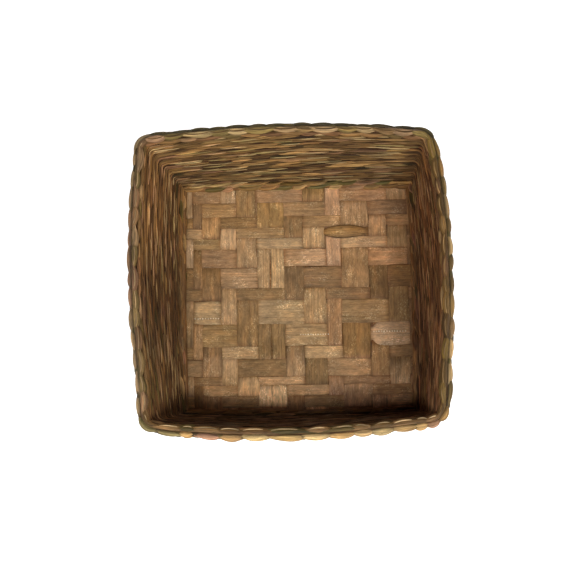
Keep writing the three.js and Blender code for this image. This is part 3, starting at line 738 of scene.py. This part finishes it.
def strip(spec, others, is_column, index):
    name, num, e0, e1, up = spec
    rng = np.random.default_rng((3000 if is_column else 4000) + index)
    e0, e1 = e0 / 1000, e1 / 1000
    centre = (e0 + e1) / 2
    at = (lambda x, e: floor_point(np.full_like(x, e), x)) if is_column else (lambda x, e: floor_point(x, np.full_like(x, e)))
    # a column runs from near to far and a row from left to right; ends that stay flat reach under the foot wale
    beyond = 0.0 if up else 0.016
    x = np.linspace(-beyond, 1.0 + beyond, 216)
    if is_column:
        x = x[::-1]
    a2, b2 = at(x, e0), at(x, e1)
    if e0 == 0.0 or e1 == 1.0:
        side = (LEFT if e0 == 0.0 else RIGHT) if is_column else (FAR if e0 == 0.0 else NEAR)
        out = unit((a2 - b2) if e0 == 0.0 else (b2 - a2))
        push = out * (WALL_HALF - 1.2 + FLOOR_BOW[side] * np.clip(1 - (2 * x - 1) ** 2, 0, 1))[:, None]
        if e0 == 0.0:
            a2 = a2 + push
        else:
            b2 = b2 + push
    c2, w2 = (a2 + b2) / 2, (b2 - a2) / 2
    half = np.linalg.norm(w2, axis=1)
    w2 = w2 * ((half - 0.03) / half)[:, None]
    level = np.zeros_like(x)
    xc = np.clip(x, 0.0, 1.0)
    for o in others:
        on = (not column_on_top(o[1], num)) if not is_column else column_on_top(num, o[1])
        inside = (xc >= o[2] / 1000) & (xc <= o[3] / 1000)
        level[inside] = 1.0 if on else -1.0
    run = np.concatenate([[0], np.cumsum(np.diff(level) != 0)])
    runs = run.max() + 1
    first_x, last_x = np.array([x[run == r][0] for r in range(runs)]), np.array([x[run == r][-1] for r in range(runs)])
    f = (x - first_x[run]) / np.where(last_x == first_x, 1, last_x - first_x)[run] * 2 - 1
    # every float has its own tone, drifts lighter towards one end, and lies a little tilted
    tone = np.exp(rng.normal(0, 0.21, runs))[run] * (1 + rng.normal(0, 0.13, runs)[run] * f)
    warm = rng.normal(0.008, 0.030, runs)[run] + rng.normal(0, 0.02, runs)[run] * f
    tilt = rng.normal(0, 0.16, runs)[run]
    ragged = 1 + np.clip(rng.normal(0, 0.03, runs), -0.05, 0.05)[run] + np.clip(rng.normal(0, 0.04, runs), -0.06, 0.06)[run] * f
    dive_shade_depth = rng.uniform(0.25, 1.55, runs)[run]
    for spot, light, hue in FLOATS.get(name, ()):
        at_run = run == run[int(np.argmin(np.abs(x - spot)))]
        tone = np.where(at_run, light * (1 + 0.3 * (tone - 1)), tone)
        warm = np.where(at_run, hue, warm)
    # painted shade: the floor darker towards the left and right walls
    place = x if not is_column else np.full_like(x, centre)
    tone = tone * np.interp(place, [0.0, 0.12, 0.25, 0.68, 0.80, 1.0], [0.89, 0.91, 0.98, 0.98, 0.87, 0.83])
    tone = tone * (1.05 if is_column else 0.98)
    # painted light: the floor a little lighter at its far and near ends
    deep_ = x if is_column else np.full_like(x, centre)
    tone = tone * np.interp(deep_, [0.0, 0.10, 0.25, 0.80, 0.88, 1.0], [1.04, 1.03, 1.0, 1.0, 1.09, 1.09])
    wide, lift, round_, seam_shade = np.ones_like(x), np.zeros_like(x), np.full_like(x, CROWN), np.full_like(x, 0.27)
    aside, coolest = np.zeros_like(x), np.full_like(x, -0.055)
    if name == "r04":        # one short float has curled up into a golden lens
        f = np.clip((x - 0.610) / (0.800 - 0.610), 0, 1)
        bulge = np.sin(np.pi * f) ** 0.5
        on = (f > 0) & (f < 1)
        wide = np.where(on, 0.22 + 1.12 * bulge, 1.0)
        lift, round_, aside = 2.6 * bulge, CROWN + 1.1 * bulge, 0.7 * bulge
        # painted shade: a strong dark outline round the lens
        seam_shade = np.where(on, 0.92, seam_shade)
        tone, warm, tilt, ragged = np.where(on, 1.02, tone), np.where(on, 0.12, warm), np.where(on, 0.0, tilt), np.where(on, 1.0, ragged)
    if name == "r10":        # its right float starts with a rounded end
        f = np.clip((x - 0.812) / 0.048, 0, 1)
        wide = np.where(x > 0.806, 0.25 + 0.83 * np.sqrt(1 - (1 - f) ** 2), 1.0)
        pale = x > 0.806
        tone, warm, coolest = np.where(pale, 1.85, tone), np.where(pale, -0.10, warm), np.where(pale, -0.2, coolest)
    if name == "c03":
        tone = np.where((x > 0.74) & (x < 0.83), 1.25, tone)
    if name in ("c06", "c07"):
        patch = (x > 0.870) & (x < 0.960)
        tone, warm, coolest = np.where(patch, 2.25, tone), np.where(patch, -0.06, warm), np.where(patch, -0.1, coolest)
        deep_ = np.where(patch, 0.88, deep_)
    level, dive_shade_depth = soften(level, 8), soften(dive_shade_depth, 4)
    tone, warm, tilt = soften(tone, 6), soften(warm, 6), soften(tilt, 8)
    wide, lift, round_, aside = soften(wide, 1), soften(lift, 2), soften(round_, 2), soften(aside, 2)
    c = np.concatenate([c2, (MID + LEVEL * level + lift)[:, None]], 1)
    c[:, :2] += unit(w2) * aside[:, None]
    w = np.concatenate([w2 * (wide * soften(ragged, 4))[:, None], 0 * x[:, None]], 1)
    if up:
        sides = (NEAR, FAR) if is_column else (LEFT, RIGHT)
        group = UP_C if is_column else UP_R
        s1 = spread(group.index(spec), len(group))
        s0 = float(weave_u(centre) if is_column else weave_v(centre))
        start = stake_path(sides[0], 1 - s0, 1 - s1, 2 * half[0] - 0.1, True)
        end = stake_path(sides[1], s0, s1, 2 * half[-1] - 0.1, False)
        m0, m1 = len(start[0]), len(end[0])
        c = np.concatenate([start[0][::-1], c, end[0]])
        w = np.concatenate([start[1][::-1], w, end[1]])

        def carry(a):
            return np.concatenate([np.full(m0, a[0]), a, np.full(m1, a[-1])])
        level, x, tone, warm, round_, seam_shade, tilt, dive_shade_depth, deep_, coolest = (
            carry(a) for a in (level, x, tone, warm, round_, seam_shade, tilt, dive_shade_depth, deep_, coolest))
    c, w = soften(c, 2), soften(w, 2)
    along = np.concatenate([[0], np.cumsum(np.linalg.norm(np.diff(c, axis=0), axis=1))])
    hw = np.linalg.norm(w, axis=1) * (1 + 0.016 * smooth_noise(rng, along, 9.0))
    wu = unit(w)
    c = c + wu * (0.38 * smooth_noise(rng, along, 16.0))[:, None]
    t = unit(np.gradient(c, axis=0))
    nrm = unit(np.cross(wu, t))
    # section: a flat oval with a crowned upper face, shallow ridges and a few narrow split lines
    splits = SPLITS.get(name, tuple(rng.uniform(-0.8, 0.8, rng.integers(1, 4))))
    mean_half = float(np.median(hw))
    top = list(np.linspace(0.975, -0.975, 24))
    for s in splits:
        top = [v for v in top if abs(v - s) > 0.05] + [s + 0.30 / mean_half, s, s - 0.30 / mean_half]
    top = np.array(sorted(top, reverse=True))
    v = np.concatenate([[1.0], top, [-1.0], np.linspace(-0.95, 0.95, 7)])
    n_top = len(top)
    upper = np.zeros(len(v), bool)
    upper[1:1 + n_top] = True
    flat = np.where(upper, 1.0, -1.0)
    flat[0] = flat[1 + n_top] = 0.0
    ridge = sum(rng.uniform(0.3, 1) * np.cos(v * f * np.pi + rng.uniform(0, 6.3)) for f in (2.3, 4.1, 6.7)) * 0.035
    shape = STRIP_HALF * flat * (1 - 0.35 * np.abs(v) ** 14) + ridge * (np.abs(flat) > 0) * (np.abs(v) < 0.9)
    hgt = np.broadcast_to(shape, (len(c), len(v))) + round_[:, None] * ((1 - v * v) * upper)[None] + tilt[:, None] * v[None]
    line = np.zeros((len(c), len(v)))
    for s in splits:
        here = np.clip(0.55 + 1.1 * smooth_noise(rng, along, 32.0), 0, 1)
        line[:, np.argmin(np.where(upper, np.abs(v - s), 9))] += here
    hgt = hgt - 0.30 * line
    ring = c[:, None] + wu[:, None] * (hw[:, None] * v)[..., None] + nrm[:, None] * hgt[..., None]
    ring[..., 2] = np.maximum(ring[..., 2], 0.03)
    fib = np.stack([np.broadcast_to(along[:, None], hgt.shape) + rng.uniform(0, 4000), hw[:, None] * v, hgt], -1)
    base = pick(rng, STRIP_COLOURS, 1, 0.06, 0.012)[0]
    tone = tone * (1 + 0.08 * smooth_noise(rng, along, 18.0) + 0.07 * smooth_noise(rng, along, 7.0))
    warm = warm + 0.02 * smooth_noise(rng, along, 34.0) + np.clip(0.20 * (1 - tone), -0.07, 0.12)
    warm = np.maximum(warm, coolest)
    colour = base * tone[:, None] * np.stack([1 + 0.6 * warm, 1 + 0.1 * warm, 1 - 1.6 * warm], -1)
    # painted shade: darker where a strip goes under its neighbour
    dive_shade = np.clip((0.98 - level) / 1.2, 0, 1)
    colour = colour * (1 - (dive_shade * dive_shade_depth)[:, None] * np.array([0.28, 0.36, 0.42]))
    # painted shadow: the strips redder and darker in the near wall's shadow
    colour = colour * (1 - np.clip((deep_ - 0.86) / 0.14, 0, 1)[:, None] * np.array([0.10, 0.28, 0.28]))
    # painted shade: the right part of the floor darker and more red, in the right wall's shade
    right_side_shade = np.interp(x if not is_column else np.full_like(x, centre), [0.62, 0.80], [0.0, 1.0])
    colour = colour * (1 - right_side_shade[:, None] * np.array([0.08, 0.165, 0.19]))
    across = 1 + 0.08 * smooth_noise(rng, v * mean_half, 2.4)
    sides_ = np.stack([1 + 0.9 * smooth_noise(rng, along, 14.0) for _ in range(2)], 1)
    by_side = np.where(v[None] > 0, sides_[:, :1], sides_[:, 1:])
    if name == "r04":
        by_side = 0.92 + 0.08 * by_side
    # painted shade: each strip darker along its long sides, at the seams
    painted_edge = 1 - np.clip(seam_shade[:, None] * by_side, 0, 0.95) * np.abs(v)[None] ** (3.0 if name == "r04" else 4.5)
    # painted shade: darker in the split lines
    tint = colour[:, None] * (painted_edge * across[None] * (1 - 0.45 * line))[..., None]
    soup = Soup()
    first, last = c[0] - t[0] * 0.4, c[-1] + t[-1] * 0.4
    shift = np.array([SHIFT[0], SHIFT[1], 0.0])
    soup.grid((ring + shift)[None], (first + shift)[None], (last + shift)[None], fib[None], fib[0].mean(0)[None], fib[-1].mean(0)[None], tint[None])
    for u0, u1, v0 in {"r09": ((0.035, 0.15, 0.572),), "r10": ((0.50, 0.63, 0.649), (0.815, 0.96, 0.640))}.get(name, ()):
        # frayed splinters that stand up along the split line; their near-white colour is partly pale fibre and partly a
        # painted glint
        m = int((u1 - u0) * 250 / 2.7)
        for j in range(m):
            u = u0 + (u1 - u0) * (j + 0.5) / m + rng.uniform(-0.001, 0.001)
            a = floor_point(np.array([u - 0.0018, u, u + 0.0018]), np.array([v0, v0 + rng.uniform(-0.001, 0.001), v0]))
            p = np.concatenate([a + SHIFT, np.array([[2.30], [2.64], [2.42]])], 1)
            thread(soup, rng, p, np.array([0.45, 0.88, 0.50]), lin((250, 234, 202)))
    return finish_piece(soup.object("strip_" + name + "_grain", BAMBOO), "strip_" + name)


for n, spec in enumerate(COLUMNS):
    strip(spec, ROWS, True, n)
for n, spec in enumerate(ROWS):
    strip(spec, COLUMNS, False, n)


# ---- studio ----------------------------------------------------------------------------------------
def plain_material(name, colour, rough, glow):
    mat = bpy.data.materials.new(name)
    mat.use_nodes = True
    b = mat.node_tree.nodes["Principled BSDF"]
    b.inputs["Roughness"].default_value = rough
    b.inputs["Specular IOR Level"].default_value = 0.1
    b.inputs["Emission Color"].default_value = (1, 1, 1, 1)
    # the paper glows a little, as lit paper does, except where the basket stands on it; there the paper is also painted
    # near black, a painted shadow
    nt = mat.node_tree
    place = nt.nodes.new("ShaderNodeTexCoord")
    size = nt.nodes.new("ShaderNodeVectorMath")
    size.operation = "ABSOLUTE"
    parts = nt.nodes.new("ShaderNodeSeparateXYZ")
    far_side = nt.nodes.new("ShaderNodeMath")
    far_side.operation = "MAXIMUM"
    ramp_ = nt.nodes.new("ShaderNodeMapRange")
    for key, v in (("From Min", 0.122), ("From Max", 0.132), ("To Min", 0.0), ("To Max", glow)):
        ramp_.inputs[key].default_value = v
    nt.links.new(place.outputs["Object"], size.inputs[0])
    nt.links.new(size.outputs["Vector"], parts.inputs["Vector"])
    nt.links.new(parts.outputs["X"], far_side.inputs[0])
    nt.links.new(parts.outputs["Y"], far_side.inputs[1])
    nt.links.new(far_side.outputs["Value"], ramp_.inputs["Value"])
    nt.links.new(ramp_.outputs["Result"], b.inputs["Emission Strength"])
    # painted shadow: the paper's colour falls to near black under the basket
    shade = nt.nodes.new("ShaderNodeMapRange")
    for key, v in (("From Min", 0.122), ("From Max", 0.132), ("To Min", 0.05), ("To Max", colour[0])):
        shade.inputs[key].default_value = v
    nt.links.new(far_side.outputs["Value"], shade.inputs["Value"])
    nt.links.new(shade.outputs["Result"], b.inputs["Base Color"])
    return mat


me = bpy.data.meshes.new("studio_floor")
g = 6.0
me.from_pydata([(-g, -g, -0.0003), (g, -g, -0.0003), (g, g, -0.0003), (-g, g, -0.0003)], [], [(0, 1, 2, 3)])
me.materials.append(plain_material("studio_floor", (0.86, 0.86, 0.86), 0.9, 0.80))
floor_obj = bpy.data.objects.new("studio_floor", me)
bpy.context.scene.collection.objects.link(floor_obj)

# the room is pale near the horizon and dim overhead, so that the light comes from the soft boxes
world = bpy.data.worlds.new("studio")
world.use_nodes = True
wt = world.node_tree
way = wt.nodes.new("ShaderNodeTexCoord")
split = wt.nodes.new("ShaderNodeSeparateXYZ")
ramp = wt.nodes.new("ShaderNodeMapRange")
ramp.interpolation_type = "SMOOTHSTEP"
for key, value in (("From Min", 0.06), ("From Max", 0.34), ("To Min", 0.92), ("To Max", 0.02)):
    ramp.inputs[key].default_value = value
wt.links.new(way.outputs["Generated"], split.inputs["Vector"])
wt.links.new(split.outputs["Z"], ramp.inputs["Value"])
seen = wt.nodes.new("ShaderNodeLightPath")
backdrop = wt.nodes.new("ShaderNodeMath")
backdrop.operation = "MAXIMUM"
wt.links.new(ramp.outputs["Result"], backdrop.inputs[0])
wt.links.new(seen.outputs["Is Camera Ray"], backdrop.inputs[1])
wt.links.new(backdrop.outputs["Value"], wt.nodes["Background"].inputs["Strength"])
wt.nodes["Background"].inputs["Color"].default_value = (1.0, 0.995, 0.985, 1)
bpy.context.scene.world = world


def area(name, azimuth, off_vertical, distance, size, power, colour=(1.0, 0.985, 0.955)):
    """A soft box aimed at the basket; azimuth from +X towards +Y, in degrees."""
    la = bpy.data.lights.new(name, "AREA")
    la.shape = "DISK"
    la.size = size
    la.energy = power
    la.color = colour
    o = bpy.data.objects.new(name, la)
    a, e = math.radians(azimuth), math.radians(off_vertical)
    to = np.array([math.sin(e) * math.cos(a), math.sin(e) * math.sin(a), math.cos(e)])
    o.location = to * distance + np.array([0, 0, 0.05])
    o.rotation_euler = (0, e, a)
    bpy.context.scene.collection.objects.link(o)
    return o


area("near_left_box", 225.0, 22.0, 1.8, 0.25, 8.0)
area("near_box", 250.0, 20.0, 1.8, 0.25, 3.2)
area("near_right_box", 315.0, 30.0, 1.8, 0.40, 13.2)
area("side_fill", 0.0, 40.0, 1.8, 0.50, 2.7)
area("near_fill", 270.0, 52.0, 1.8, 0.80, 7.5)

cam = bpy.data.cameras.new("camera")
cam.sensor_fit = "HORIZONTAL"
cam.sensor_width = 36.0
cam.lens = 632.0 / 580.0 * 36.0
cam.clip_start, cam.clip_end = 0.01, 50.0
camera = bpy.data.objects.new("camera", cam)
camera.location = ((53.64 + SHIFT[0]) * MM, (-128.0 + SHIFT[1]) * MM, 676.64 * MM)
camera.rotation_euler = tuple(math.radians(a) for a in (11.28, 5.168, -0.755))
bpy.context.scene.collection.objects.link(camera)
bpy.context.scene.camera = camera
bpy.context.scene.view_settings.view_transform = "Standard"
bpy.context.scene.view_settings.look = "None"
